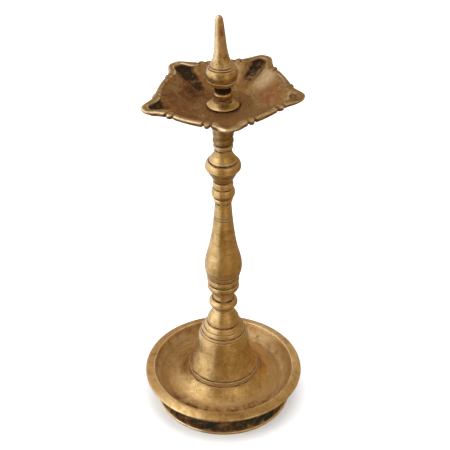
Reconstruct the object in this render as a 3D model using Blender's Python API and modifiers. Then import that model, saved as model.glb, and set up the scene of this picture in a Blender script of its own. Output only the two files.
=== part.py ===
"""Standing brass oil lamp (samai): turned sections that screw on top of each other.

Metres, +Z up. The origin is the middle of the foot ring, on the ground. The front is -Y and the
right is +X. Profiles are written in millimetres, as (radius, height) pairs from top to bottom, and
turned about Z. The screw threads are right-handed: a turn about +Z loosens a section and lifts it.
"""

import math

import bmesh
import bpy
from mathutils import Vector

MM = 0.001

# Heights of the seats where one section ends and the next begins, in millimetres.
KNOP_SEAT = 95.1
BALUSTER_SEAT = 124.6
HEAD_SEAT = 211.2
PAN_SEAT = 261.7
COLLAR_SEAT = 296.2
FINIAL_SEAT = 301.3
TIP = 371.5
GAP = 0.3

# Drip dish and foot.
DISH_RADIUS = 70.0
LIP_INNER_RADIUS = 62.0
LIP_INNER_HEIGHT = 29.6
LIP_OUTER_HEIGHT = 26.9
FOOT_OUTER_RADIUS = 59.4
FOOT_INNER_RADIUS = 54.4

# Screw joints: the studs stand on the lower section and the sockets are in the upper one.
PITCH = 2.5
THREAD_TURNS = 4
THREAD_DEPTH = 1.1
THREAD_GAP = 0.4
FLANK_GAP = 0.36
ROOT_HALF_WIDTH = 0.95
CREST_HALF_WIDTH = 0.3
BASE_STUD_MINOR = 4.1
HEAD_STUD_MINOR = 3.1
BASE_THREAD_START = 127.5
HEAD_THREAD_START = 303.0
TENON_RADIUS = 4.5
TENON_LENGTH = 12.2
WASHER_THICKNESS = 0.9

# Oil pan: beaks as (azimuth from the front towards the right, radius of the tip).
BEAKS = ((-69.0, 65.8), (5.5, 60.8), (75.0, 63.4), (147.5, 65.6), (218.5, 65.4))
PAN_SIDE_RADIUS = 51.2
PAN_INNER_RADIUS = 47.6
CHANNEL_MOUTH_RADIUS = 59.6
PAN_FLOOR_RADIUS = 24.0
RIM_HEIGHT = 309.3
LIP_THICKNESS = 3.6
TIP_THICKNESS = 2.2
WALL_THICKNESS = 3.2
PAN_TILT = math.radians(3.0)

# The finial was cast with a slight lean to the left, above its bead.
FINIAL_LEAN = math.radians(2.5)
LEAN_START = 303.0

BASE_STEPS = 40
STEM_STEPS = 24
THREAD_STEPS = 12
THREAD_PHASE = math.radians(5.0)


# ---------------------------------------------------------------- outline helpers

def bead(top, bottom, root, crown, count=4):
    """A half-round moulding between two heights, standing out from root to crown."""
    points = []
    for k in range(count + 1):
        angle = math.pi * k / count
        radius = root + (crown - root) * math.sin(angle)
        height = (top + bottom) / 2 + (top - bottom) / 2 * math.cos(angle)
        points.append((radius, height))
    return points


# ---------------------------------------------------------------- mesh helpers

def collection(name):
    """A new collection in the scene."""
    group = bpy.data.collections.new(name)
    bpy.context.scene.collection.children.link(group)
    return group


def mesh_object(name, bm, group):
    """An object made from a bmesh, shaded smooth with its edges kept sharp."""
    mesh = bpy.data.meshes.new(name)
    bm.to_mesh(mesh)
    bm.free()
    mesh.shade_smooth()
    mesh.set_sharp_from_angle(angle=math.radians(35))
    obj = bpy.data.objects.new(name, mesh)
    group.objects.link(obj)
    return obj


def turned(name, profile, steps, group, ring=False):
    """A solid turned about Z from a profile in millimetres; a ring's profile is a closed loop."""
    bm = bmesh.new()
    verts = [bm.verts.new((radius * MM, 0, height * MM)) for radius, height in profile]
    for a, b in zip(verts, verts[1:]):
        bm.edges.new((a, b))
    if ring:
        bm.edges.new((verts[-1], verts[0]))
    blank = mesh_object(name + "_profile", bm, group)
    screw = blank.modifiers.new("Turn", "SCREW")
    screw.axis = "Z"
    screw.angle = 2 * math.pi
    screw.steps = steps
    screw.render_steps = steps
    screw.use_merge_vertices = True
    screw.merge_threshold = 0.000001
    solid = bmesh.new()
    solid.from_object(blank, bpy.context.evaluated_depsgraph_get())
    bpy.data.objects.remove(blank)
    return mesh_object(name, solid, group)


def thread(name, root, crest, root_half, crest_half, start, turns, group):
    """A helical ridge with a trapezium section, whose height fades out over its end turns."""
    bm = bmesh.new()
    sections = []
    total = turns * THREAD_STEPS
    fade = THREAD_STEPS / 3
    for k in range(total + 1):
        angle = THREAD_PHASE + 2 * math.pi * k / THREAD_STEPS
        height = start + PITCH * k / THREAD_STEPS
        rise = min(1.0, 0.08 + min(k, total - k) / fade)
        outer = root + (crest - root) * rise
        section = []
        for radius, offset in ((root, -root_half), (outer, -crest_half),
                               (outer, crest_half), (root, root_half)):
            x = radius * math.cos(angle) * MM
            y = radius * math.sin(angle) * MM
            section.append(bm.verts.new((x, y, (height + offset) * MM)))
        sections.append(section)
    for a, b in zip(sections, sections[1:]):
        for k in range(4):
            bm.faces.new((a[k], b[k], b[(k + 1) % 4], a[(k + 1) % 4]))
    bm.faces.new(sections[0])
    bm.faces.new(list(reversed(sections[-1])))
    bmesh.ops.recalc_face_normals(bm, faces=bm.faces)
    return mesh_object(name, bm, group)


def join_thread(obj, minor, start, cutters):
    """Adds the male thread to a stud."""
    sink = 0.2
    slope = (ROOT_HALF_WIDTH - CREST_HALF_WIDTH) / THREAD_DEPTH
    ridge = thread(obj.name + "_thread", minor - sink, minor + THREAD_DEPTH,
                   ROOT_HALF_WIDTH + slope * sink, CREST_HALF_WIDTH,
                   start, THREAD_TURNS, cutters)
    boolean(obj, ridge, "UNION")


def cut_thread(obj, minor, start, cutters):
    """Cuts the female thread into a socket, a turn longer than the stud's at both ends."""
    sink = 0.2
    slope = (ROOT_HALF_WIDTH - CREST_HALF_WIDTH) / THREAD_DEPTH
    inner = minor + THREAD_GAP - sink
    outer = minor + THREAD_DEPTH + THREAD_GAP
    inner_half = ROOT_HALF_WIDTH + FLANK_GAP - slope * (inner - minor)
    outer_half = ROOT_HALF_WIDTH + FLANK_GAP - slope * (outer - minor)
    tool = thread(obj.name + "_tap", inner, outer, inner_half, outer_half,
                  start - PITCH, THREAD_TURNS + 2, cutters)
    boolean(obj, tool, "DIFFERENCE")


def boolean(obj, tool, operation):
    """Joins or cuts an object with a tool that stays as a hidden guide."""
    tool.hide_render = True
    tool.display_type = "WIRE"
    modifier = obj.modifiers.new(tool.name, "BOOLEAN")
    modifier.operation = operation
    modifier.object = tool


def material(obj, colour, roughness, metallic):
    """Gives an object a Principled material of its own."""
    mat = bpy.data.materials.new(obj.name)
    mat.use_nodes = True
    shader = mat.node_tree.nodes["Principled BSDF"]
    shader.inputs["Base Color"].default_value = (*colour, 1.0)
    shader.inputs["Roughness"].default_value = roughness
    shader.inputs["Metallic"].default_value = metallic
    obj.data.materials.clear()
    obj.data.materials.append(mat)


# ---------------------------------------------------------------- sections of the lamp

def stud_profile(minor, seat, thread_start):
    """A stud from its tip down to the seat it stands on: thread core, then a plain shank."""
    tip = thread_start + PITCH * THREAD_TURNS + 1.0
    shank = minor + THREAD_DEPTH
    return [(0, tip), (minor - 0.7, tip), (minor, tip - 0.7),
            (minor, thread_start), (shank, thread_start - 0.9), (shank, seat)]


def socket_profile(minor, mouth, thread_start):
    """A blind socket from its mouth up to its end on the axis."""
    end = thread_start + PITCH * THREAD_TURNS + 2.5
    core = minor + THREAD_GAP
    counterbore = minor + THREAD_DEPTH + THREAD_GAP + 0.15
    return [(counterbore, mouth), (counterbore, thread_start - 0.3),
            (core, thread_start + 0.6), (core, end), (0, end)]


def make_base_dish(parts, cutters):
    """Drip dish, waist, foot ring, hollow bell and dome in one casting, with the stem's stud."""
    dome = [(8.9, KNOP_SEAT), (10.7, 91.1), (12.1, 88.6), (13.4, 86.2), (13.9, 82.4)]
    shoulder = [(13.1, 81.8), (15.2, 79.8), (17.2, 77.3), (17.9, 76.3)]
    bell = [(19.1, 73.4), (20.5, 70.6), (21.7, 66.0), (22.6, 60.0), (23.4, 54.0), (25.1, 47.7),
            (28.0, 39.8), (30.3, 34.2), (31.9, 30.2)]
    floor = [(35.4, 25.2), (40.5, 20.8), (46.0, 18.4), (51.5, 17.8),
             (56.3, 20.0), (59.9, 24.6), (LIP_INNER_RADIUS, LIP_INNER_HEIGHT)]
    lip = [(LIP_INNER_RADIUS + 1.0, LIP_INNER_HEIGHT), (DISH_RADIUS - 0.8, LIP_OUTER_HEIGHT + 0.7),
           (DISH_RADIUS, LIP_OUTER_HEIGHT - 0.2), (DISH_RADIUS - 0.4, LIP_OUTER_HEIGHT - 1.9)]
    waist = [(67.0, 23.4), (60.8, 19.6), (57.0, 14.2), (56.3, 8.6), (58.4, 4.2),
             (FOOT_OUTER_RADIUS + 0.6, 2.2)]
    foot = [(FOOT_OUTER_RADIUS, 0), (FOOT_INNER_RADIUS, 0)]
    hollow = [(53.4, 5.0), (52.4, 11.4), (49.0, 14.7), (44.5, 15.7), (39.0, 18.2), (33.2, 23.2),
              (28.4, 31.0), (24.6, 39.8), (21.6, 48.6), (19.4, 60.0), (17.4, 69.0), (12.0, 76.4),
              (0, 79.0)]
    profile = (stud_profile(BASE_STUD_MINOR, KNOP_SEAT, BASE_THREAD_START)
               + dome + shoulder + bell + floor + lip + waist + foot + hollow)
    obj = turned("base_dish", profile, BASE_STEPS, parts)
    join_thread(obj, BASE_STUD_MINOR, BASE_THREAD_START, cutters)
    return obj


def make_lower_knop(parts):
    """Ring and bead, bored to slip over the base's stud."""
    bore = BASE_STUD_MINOR + THREAD_DEPTH + GAP
    top = BALUSTER_SEAT
    bottom = KNOP_SEAT + GAP
    ring = bead(123.8, 118.6, 12.7, 13.65)
    neck = [(12.3, 117.6), (10.6, 116.0), (9.2, 114.0), (8.65, 111.8), (8.7, 109.4)]
    lower_bead = bead(106.6, 99.6, 9.6, 12.4, 6)
    profile = ([(bore, top), (12.5, top)] + ring + neck + lower_bead
               + [(9.0, 98.4), (8.8, bottom), (bore, bottom)])
    return turned("lower_knop", profile, STEM_STEPS, parts, ring=True)


def make_baluster(parts, cutters):
    """Pear-shaped stem with a plain socket on top and a threaded one below."""
    socket = TENON_RADIUS + GAP
    socket_end = HEAD_SEAT - TENON_LENGTH - GAP
    top = [(0, socket_end), (socket, socket_end), (socket, HEAD_SEAT), (7.3, HEAD_SEAT)]
    ring = bead(HEAD_SEAT - 0.2, 207.6, 7.3, 7.85) + [(7.0, 207.1)]
    neck = [(7.05, 204.6), (7.35, 200.0), (7.75, 194.4)]
    body = [(8.6, 184.6), (9.3, 178.5), (10.2, 172.4), (11.3, 166.2), (12.65, 160.0), (14.3, 153.6),
            (15.6, 147.6), (15.95, 143.2), (15.6, 139.0), (14.45, 134.4), (13.8, 132.4)]
    flange = [(13.2, 131.4)] + bead(130.9, 125.6, 13.2, 13.8)
    bottom = BALUSTER_SEAT + GAP
    profile = (top + ring + neck + body + flange + [(12.5, bottom)]
               + socket_profile(BASE_STUD_MINOR, bottom, BASE_THREAD_START))
    obj = turned("baluster", profile, STEM_STEPS, parts)
    cut_thread(obj, BASE_STUD_MINOR, BASE_THREAD_START, cutters)
    return obj


def make_upper_knop(parts, cutters):
    """Head of the stem: neck, double-cone knop, collar and bulb, tenon below and stud above."""
    neck = [(7.5, PAN_SEAT), (8.0, 260.8), (7.9, 259.3), (7.35, 257.4), (7.2, 256.2)]
    cone = [(7.45, 254.4), (9.3, 250.8), (11.7, 247.4)]
    knop = [(11.5, 246.9), (12.4, 246.4), (13.7, 245.0), (14.6, 241.6), (14.45, 240.0)]
    taper = [(13.2, 238.6), (11.75, 235.8), (9.5, 231.5), (8.45, 229.2)]
    collar = [(7.9, 228.0), (8.1, 226.6), (8.4, 223.2), (8.25, 221.8), (7.8, 221.3)]
    bulb = [(8.4, 220.6), (9.4, 218.0), (9.75, 215.6), (9.4, 213.8), (8.2, 212.0)]
    bottom = HEAD_SEAT + GAP
    tenon = [(7.8, bottom), (TENON_RADIUS, bottom),
             (TENON_RADIUS, bottom - TENON_LENGTH), (0, bottom - TENON_LENGTH)]
    profile = (stud_profile(HEAD_STUD_MINOR, PAN_SEAT, HEAD_THREAD_START)
               + neck + cone + knop + taper + collar + bulb + tenon)
    obj = turned("upper_knop", profile, STEM_STEPS, parts)
    join_thread(obj, HEAD_STUD_MINOR, HEAD_THREAD_START, cutters)
    return obj


def make_pan_washer(parts):
    """Leather washer between the head and the pan's boss."""
    bore = HEAD_STUD_MINOR + THREAD_DEPTH + GAP
    bottom = PAN_SEAT + GAP
    top = bottom + WASHER_THICKNESS
    profile = [(bore, top), (7.4, top), (7.4, bottom), (bore, bottom)]
    return turned("pan_washer", profile, STEM_STEPS, parts, ring=True)


def bell_step(angle, width, power):
    """1 on a beak's middle line, falling smoothly to 0 between the beaks."""
    return 1.0 / (1.0 + (abs(angle) / width) ** power)


def smoothstep(low, high, value):
    """0 below low, 1 above high, and smooth between them."""
    t = min(1.0, max(0.0, (value - low) / (high - low)))
    return t * t * (3 - 2 * t)


def pan_azimuths():
    """Azimuths round the pan, close together at the beaks, as (azimuth, offset, tip radius)."""
    shares = (0.0, 0.045, 0.085, 0.125, 0.17, 0.225, 0.3, 0.39)
    result = []
    for k, (azimuth, tip) in enumerate(BEAKS):
        following, following_tip = BEAKS[(k + 1) % len(BEAKS)]
        span = (following - azimuth) % 360
        for share in shares:
            result.append((azimuth + share * span, share * span, tip))
        result.append((azimuth + span / 2, span / 2, tip))
        for share in reversed(shares[1:]):
            result.append((azimuth + (1 - share) * span, -share * span, following_tip))
    return result


def pan_section(offset, tip):
    """One radial section of the pan, from the foot of its bore out, over the lip and back in."""
    bore = HEAD_STUD_MINOR + THREAD_DEPTH + GAP
    bottom = PAN_SEAT + 2 * GAP + WASHER_THICKNESS
    rim = PAN_SIDE_RADIUS + (tip - PAN_SIDE_RADIUS) * bell_step(offset, 9.8, 3)
    channel = bell_step(offset, 6.6, 4)
    mouth = CHANNEL_MOUTH_RADIUS - (BEAKS[0][1] - tip)
    inner = PAN_INNER_RADIUS + (mouth - PAN_INNER_RADIUS) * channel
    thickness = LIP_THICKNESS + (TIP_THICKNESS - LIP_THICKNESS) * channel
    edge = RIM_HEIGHT - 0.9 - 2.0 * channel

    def inside(t):
        radius = PAN_FLOOR_RADIUS + (inner - PAN_FLOOR_RADIUS) * t
        return radius, COLLAR_SEAT + (edge - COLLAR_SEAT) * t ** 1.25

    boss = [(bore, bottom), (8.2, bottom), (8.2, 267.0), (7.7, 268.1), (8.1, 269.2), (8.1, 280.0),
            (11.5, 289.0), (PAN_FLOOR_RADIUS, COLLAR_SEAT - 3.0)]
    under = [(r, z - WALL_THICKNESS) for r, z in map(inside, (0.35, 0.7, 1.0))]
    lip = [(rim - 1.2, RIM_HEIGHT - thickness), (rim, RIM_HEIGHT - thickness + 0.8),
           (rim, RIM_HEIGHT - 0.9), (rim - 0.8, RIM_HEIGHT), (inner + 1.2, RIM_HEIGHT)]
    bowl = [inside(t) for t in (1.0, 0.85, 0.65, 0.45, 0.25, 0.1, 0.0)]
    seat = [(15.0, COLLAR_SEAT), (bore, COLLAR_SEAT)]
    return boss + under + lip + bowl + seat


def make_oil_pan(parts):
    """Cast pan with five pinched beaks, lofted from radial sections round its bore."""
    bm = bmesh.new()
    rings = []
    for azimuth, offset, tip in pan_azimuths():
        angle = math.radians(azimuth)
        ring = []
        for radius, height in pan_section(offset, tip):
            x = radius * math.sin(angle)
            y = -radius * math.cos(angle)
            lifted = height + x * math.tan(PAN_TILT) * smoothstep(15.0, 26.0, radius)
            ring.append(bm.verts.new(Vector((x, y, lifted)) * MM))
        rings.append(ring)
    count = len(rings[0])
    for a, b in zip(rings, rings[1:] + rings[:1]):
        for k in range(count):
            bm.faces.new((a[k], b[k], b[(k + 1) % count], a[(k + 1) % count]))
    bmesh.ops.recalc_face_normals(bm, faces=bm.faces)
    return mesh_object("oil_pan", bm, parts)


def make_pan_collar(parts):
    """Flared cup washer that the finial presses on the pan."""
    bore = HEAD_STUD_MINOR + THREAD_DEPTH + GAP
    bottom = COLLAR_SEAT + GAP
    flare = [(7.2, 300.8), (9.4, 299.9), (12.0, 298.6)]
    rim = [(12.8, 297.9), (12.8, 297.1), (12.3, bottom)]
    profile = [(bore, FINIAL_SEAT), (6.3, FINIAL_SEAT)] + flare + rim + [(bore, bottom)]
    return turned("pan_collar", profile, STEM_STEPS, parts, ring=True)


def make_finial(parts, cutters):
    """Spire, bulb and bead: the nut on top of the stud, with its upper part leaning a little."""
    spire = [(0, TIP), (1.5, TIP - 0.4), (2.5, 369.8), (3.2, 366.6), (4.0, 357.5), (4.8, 347.0),
             (5.7, 340.2), (7.2, 334.6), (9.0, 331.7)]
    bulb = [(10.4, 329.5), (11.5, 327.4), (12.15, 325.2), (12.3, 323.0), (12.0, 321.0),
            (11.5, 319.2), (10.9, 317.4), (9.9, 315.8), (9.0, 315.0)]
    neck = [(7.0, 313.8), (6.5, 311.8), (6.5, 309.2)]
    foot = bead(308.4, 303.4, 6.6, 7.6) + [(6.3, 302.6), (6.3, FINIAL_SEAT + GAP)]
    profile = spire + bulb + neck + foot + [(0, FINIAL_SEAT + GAP)]
    obj = turned("finial", profile, STEM_STEPS, parts)
    for vertex in obj.data.vertices:
        above = max(0.0, vertex.co.z - LEAN_START * MM)
        vertex.co.x -= above * math.tan(FINIAL_LEAN)
    below = FINIAL_SEAT - 1.0
    bore = socket_profile(HEAD_STUD_MINOR, below, HEAD_THREAD_START)
    tool = turned("finial_socket", list(reversed(bore)) + [(0, below)], STEM_STEPS, cutters)
    boolean(obj, tool, "DIFFERENCE")
    cut_thread(obj, HEAD_STUD_MINOR, HEAD_THREAD_START, cutters)
    return obj


def main():
    for obj in list(bpy.data.objects):
        bpy.data.objects.remove(obj)
    parts = collection("standing_oil_lamp")
    cutters = collection("cutters")
    brass = (0.50, 0.33, 0.13)
    leather = (0.06, 0.04, 0.025)
    material(make_base_dish(parts, cutters), brass, 0.36, 1.0)
    material(make_lower_knop(parts), brass, 0.32, 1.0)
    material(make_baluster(parts, cutters), brass, 0.34, 1.0)
    material(make_upper_knop(parts, cutters), brass, 0.33, 1.0)
    material(make_pan_washer(parts), leather, 0.8, 0.0)
    material(make_oil_pan(parts), (0.42, 0.28, 0.13), 0.42, 1.0)
    material(make_pan_collar(parts), brass, 0.32, 1.0)
    material(make_finial(parts, cutters), brass, 0.32, 1.0)


main()
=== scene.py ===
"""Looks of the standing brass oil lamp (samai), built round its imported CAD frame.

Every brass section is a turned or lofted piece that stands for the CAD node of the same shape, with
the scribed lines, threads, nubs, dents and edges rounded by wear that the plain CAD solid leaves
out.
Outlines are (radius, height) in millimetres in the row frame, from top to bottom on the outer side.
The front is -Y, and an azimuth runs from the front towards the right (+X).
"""

import math
import random

import bmesh
import bpy
import numpy as np
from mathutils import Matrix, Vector


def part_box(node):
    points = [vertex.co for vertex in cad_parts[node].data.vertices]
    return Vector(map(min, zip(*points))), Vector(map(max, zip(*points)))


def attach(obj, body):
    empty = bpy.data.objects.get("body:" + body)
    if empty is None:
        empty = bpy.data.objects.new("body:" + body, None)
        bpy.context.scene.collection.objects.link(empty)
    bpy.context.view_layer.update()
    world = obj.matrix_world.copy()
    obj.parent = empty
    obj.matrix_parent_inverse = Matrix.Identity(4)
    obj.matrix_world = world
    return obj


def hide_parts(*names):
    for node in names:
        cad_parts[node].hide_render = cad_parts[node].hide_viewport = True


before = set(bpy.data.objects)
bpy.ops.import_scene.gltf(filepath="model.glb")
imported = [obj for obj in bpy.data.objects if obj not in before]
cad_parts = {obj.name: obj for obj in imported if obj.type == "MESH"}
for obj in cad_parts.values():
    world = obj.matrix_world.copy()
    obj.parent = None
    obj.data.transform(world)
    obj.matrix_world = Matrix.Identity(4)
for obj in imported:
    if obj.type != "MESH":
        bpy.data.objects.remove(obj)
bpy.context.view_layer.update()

MM = 0.001


def bottom(node):
    """Height of a CAD node's underside, in millimetres."""
    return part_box(node)[0].z / MM


def top(node):
    """Height of a CAD node's top, in millimetres."""
    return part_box(node)[1].z / MM


def smoothstep(low, high, value):
    """0 below low, 1 above high, and smooth between them."""
    t = np.clip((value - low) / (high - low), 0, 1)
    return t * t * (3 - 2 * t)


# Seats between the sections, and the few sizes that the sections share with the CAD frame.
GAP = 0.3
KNOP_SEAT = bottom("lower_knop") - GAP
BALUSTER_SEAT = bottom("baluster") - GAP
HEAD_SEAT = top("baluster")
PAN_SEAT = bottom("pan_washer") - GAP
COLLAR_SEAT = bottom("pan_collar") - GAP
FINIAL_SEAT = bottom("finial") - GAP
TIP = top("finial")
DISH_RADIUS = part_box("base_dish")[1].x / MM

# Screw threads, with the play that the sockets have round the studs.
PITCH = 2.5
THREAD_TURNS = 4
THREAD_LENGTH = PITCH * THREAD_TURNS
THREAD_DEPTH = 1.1
THREAD_GAP = 0.4
FLANK_GAP = 0.36
ROOT_HALF = 0.95
CREST_HALF = 0.3
THREAD_PHASE = math.radians(5.0)
BASE_MINOR = 4.1
BASE_THREAD = 127.5
HEAD_MINOR = 3.1
HEAD_THREAD = 303.0
TENON_RADIUS = 4.5
TENON_LENGTH = 12.2

# Oil pan: beaks as (azimuth, radius of the tip), and its lean and the finial's.
BEAKS = ((-69.0, 65.8), (5.5, 60.8), (75.0, 63.4), (147.5, 65.6), (218.5, 65.4))
PAN_SIDE_RADIUS = 51.2
PAN_INNER_RADIUS = 47.6
CHANNEL_MOUTH = 59.6
PAN_FLOOR = 24.0
RIM_HEIGHT = 309.3
LIP_THICKNESS = 3.6
TIP_THICKNESS = 2.2
WALL_THICKNESS = 3.2
SHANK_PLAY = 0.15
PAN_TILT = math.radians(3.0)
FINIAL_LEAN = math.radians(2.5)
LEAN_START = 303.0

# Fineness of the meshes: points round each piece, and millimetres between an outline's points.
STEM_SEGMENTS = 144
BASE_SEGMENTS = 224
PAN_STEPS = 480
OUTLINE_STEP = 0.06

# Azimuth of the nubs beside a beak, in degrees from its middle line.
NUB_OFFSET = 19.0


# ---------------- outlines

def smoothed(points, per_segment):
    """A smooth curve through points, whose first axis runs along it; per_segment steps each."""
    p = np.asarray(points, float)
    chord = np.linalg.norm(np.diff(p, axis=0), axis=-1, keepdims=True)
    chord = np.maximum(chord, 1e-9)
    slope = np.diff(p, axis=0) / chord
    lead = np.empty_like(p)
    lead[1:-1] = (slope[:-1] * chord[1:] + slope[1:] * chord[:-1]) / (chord[:-1] + chord[1:])
    lead[0] = slope[0] if len(p) == 2 else 1.5 * slope[0] - 0.5 * lead[1]
    lead[-1] = slope[-1] if len(p) == 2 else 1.5 * slope[-1] - 0.5 * lead[-2]
    out = [p[:1]]
    for k, count in enumerate(per_segment):
        t = (np.arange(1, count + 1) / count).reshape((-1,) + (1,) * (p.ndim - 1))
        t2, t3 = t * t, t * t * t
        out.append((2 * t3 - 3 * t2 + 1) * p[k] + (t3 - 2 * t2 + t) * chord[k] * lead[k]
                   + (3 * t2 - 2 * t3) * p[k + 1] + (t3 - t2) * chord[k] * lead[k + 1])
    return np.concatenate(out)


def resampled(p, positions):
    """Points of a polyline at given distances along it."""
    along = arc_length(p)
    return np.stack([np.interp(positions, along, p[:, k]) for k in range(p.shape[1])], axis=1)


def arc_length(p):
    """Distance of each point of a polyline from its start."""
    steps = np.linalg.norm(np.diff(p[:, :2], axis=0), axis=1)
    return np.concatenate([[0.0], np.cumsum(steps)])


def blurred(values, sigma, step):
    """Values along a line, averaged over a Gaussian of width sigma, with the ends kept."""
    reach = max(1, int(3 * sigma / step))
    kernel = np.exp(-0.5 * (np.arange(-reach, reach + 1) * step / sigma) ** 2)
    kernel /= kernel.sum()
    head = 2 * values[:1] - values[reach:0:-1]
    tail = 2 * values[-1:] - values[-2:-reach - 2:-1]
    padded = np.concatenate([head, values, tail])
    return np.stack([np.convolve(padded[:, k], kernel, "valid") for k in range(values.shape[1])],
                    axis=1)


def outline(stretches, lines=(), wear=0.16, coarse=1.1, threads=()):
    """An outline ready for turning, as rows of (radius, height, grime and painted shade, wear and
    painted highlight).

    Each stretch is one smooth run, and corners between stretches are rounded over by wear. Each
    line is a scribed cut as (radius, height, width, depth). Threads are (radius, from).
    """
    step = OUTLINE_STEP
    runs = []
    for points in stretches:
        chords = np.linalg.norm(np.diff(np.array(points, float), axis=0), axis=1)
        runs.append(smoothed(points, [max(2, int(c / step)) for c in chords]))
    line = np.concatenate(runs)
    total = arc_length(line)[-1]
    p = resampled(line, np.arange(0, total, step))
    p = np.concatenate([p, line[-1:]])
    ends = p[[0, -1]].copy()
    p = blurred(p, wear, step)
    p[[0, -1]] = ends
    tangent = np.gradient(p, axis=0)
    tangent /= np.maximum(np.linalg.norm(tangent, axis=1, keepdims=True), 1e-9)
    normal = np.stack([-tangent[:, 1], tangent[:, 0]], axis=1)
    along = arc_length(p)
    cut = np.zeros(len(p))
    grime_and_shade = np.zeros(len(p))
    for radius, height, width, depth in lines:
        nearest = np.argmin(np.hypot(p[:, 0] - radius, p[:, 1] - height))
        away = (along - along[nearest]) / width
        cut += depth * np.exp(-away ** 2)
        dirt = np.exp(-(away / 1.2) ** 2) + 0.3 * np.exp(-(away / 3.6) ** 2)
        grime_and_shade += min(1.0, depth / 0.42) * dirt
    p = p - normal * cut[:, None]
    p[:, 0] = np.maximum(p[:, 0], 0.0)
    tangent = np.gradient(p, axis=0)
    heading = np.unwrap(np.arctan2(tangent[:, 1], tangent[:, 0]))
    bend = -blurred(np.gradient(heading)[:, None] / step, 0.25, step)[:, 0]
    hollow = -blurred(bend[:, None], 0.8, step)[:, 0]
    # Painted shade: the outline's hollows are darkened, on top of the dirt in its scribed lines.
    grime_and_shade = grime_and_shade + 0.5 * np.clip(-bend - 0.35, 0, 1.2) + np.clip(3.6 * hollow - 0.2, 0, 0.8)
    grime_and_shade = np.clip(grime_and_shade, 0, 1)
    # Painted highlight: convex crests are lightened, with some real wear there too.
    wear_and_highlight = np.clip((bend - 0.2) * 1.1, 0, 1)
    density = np.maximum(1 / coarse, np.abs(bend) / 0.16)
    for radius, low in threads:
        inside = (np.abs(p[:, 0] - radius) < 0.4) & (p[:, 1] > low - 1)
        inside = inside & (p[:, 1] < low + THREAD_LENGTH + 1)
        density[inside] = np.maximum(density[inside], 1 / 0.3)
    density = np.minimum(density, 1 / 0.11)
    share = np.concatenate([[0.0], np.cumsum((density[1:] + density[:-1]) / 2 * step)])
    count = int(math.ceil(share[-1]))
    wanted = np.interp(np.linspace(0, share[-1], count + 1), share, arc_length(p))
    return resampled(np.column_stack([p, grime_and_shade, wear_and_highlight]), wanted)


def bead(high, low, root, crown):
    """A half-round moulding between two heights, standing out from root to crown."""
    angles = np.linspace(0, math.pi, 9)
    return [(root + (crown - root) * math.sin(a), (high + low) / 2 + (high - low) / 2 * math.cos(a))
            for a in angles]


# ---------------- meshes

def waviness(seed, amplitude):
    """The small unevenness of a hand-turned casting, as a function of azimuth and distance."""
    rng = random.Random(seed)
    waves = []
    for lobes in (1, 2, 3, 4, 6, 9):
        size = amplitude / (1 + 0.45 * lobes)
        waves.append((lobes, rng.uniform(0.03, 0.22), rng.uniform(0, 2 * math.pi), size))

    def height(angle, along):
        return sum(size * np.sin(lobes * angle + rate * along + phase)
                   for lobes, rate, phase, size in waves)
    return height


def grid_piece(name, points, closed, marks):
    """A mesh from a grid of points (outline, azimuth, 3), closed round the azimuth."""
    rows, columns = points.shape[:2]
    index = np.arange(rows * columns).reshape(rows, columns)
    right = np.roll(index, -1, axis=1)
    if closed:
        below, below_right = np.roll(index, -1, axis=0), np.roll(right, -1, axis=0)
        quads = np.stack([index, below, below_right, right], axis=-1).reshape(-1, 4)
    else:
        quads = np.stack([index[:-1], index[1:], right[1:], right[:-1]], axis=-1).reshape(-1, 4)
    mesh = bpy.data.meshes.new(name)
    mesh.vertices.add(rows * columns)
    mesh.vertices.foreach_set("co", (points * MM).astype(np.float32).ravel())
    mesh.loops.add(quads.size)
    mesh.loops.foreach_set("vertex_index", quads.astype(np.int32).ravel())
    mesh.polygons.add(len(quads))
    mesh.polygons.foreach_set("loop_start", np.arange(0, quads.size, 4, dtype=np.int32))
    mesh.update(calc_edges=True)
    for mark, values in marks.items():
        layer = mesh.attributes.new(mark, "FLOAT", "POINT")
        layer.data.foreach_set("value", np.clip(values, 0, 1).astype(np.float32).ravel())
    weld_axis(mesh)
    mesh.shade_smooth()
    obj = bpy.data.objects.new(name, mesh)
    bpy.context.scene.collection.objects.link(obj)
    return obj


def weld_axis(mesh):
    """Merges the points that a turned outline puts on the axis, and drops the empty faces."""
    bm = bmesh.new()
    bm.from_mesh(mesh)
    centre = [v for v in bm.verts if math.hypot(v.co.x, v.co.y) < 1e-6]
    bmesh.ops.remove_doubles(bm, verts=centre, dist=1e-6)
    bm.to_mesh(mesh)
    bm.free()


def thread_height(angle, height, start, root_half, crest_half):
    """0 at a thread's root and 1 on its crest, fading out over the first and last half turn."""
    turns = (height - start) / PITCH - (angle - THREAD_PHASE) / (2 * math.pi)
    away = np.abs(turns - np.round(turns)) * PITCH
    rise = np.clip((root_half - away) / (root_half - crest_half), 0, 1)
    lead = np.clip((height - start) / 1.0, 0, 1)
    trail = np.clip((start + THREAD_LENGTH - height) / 1.0, 0, 1)
    return rise * lead * trail


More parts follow.
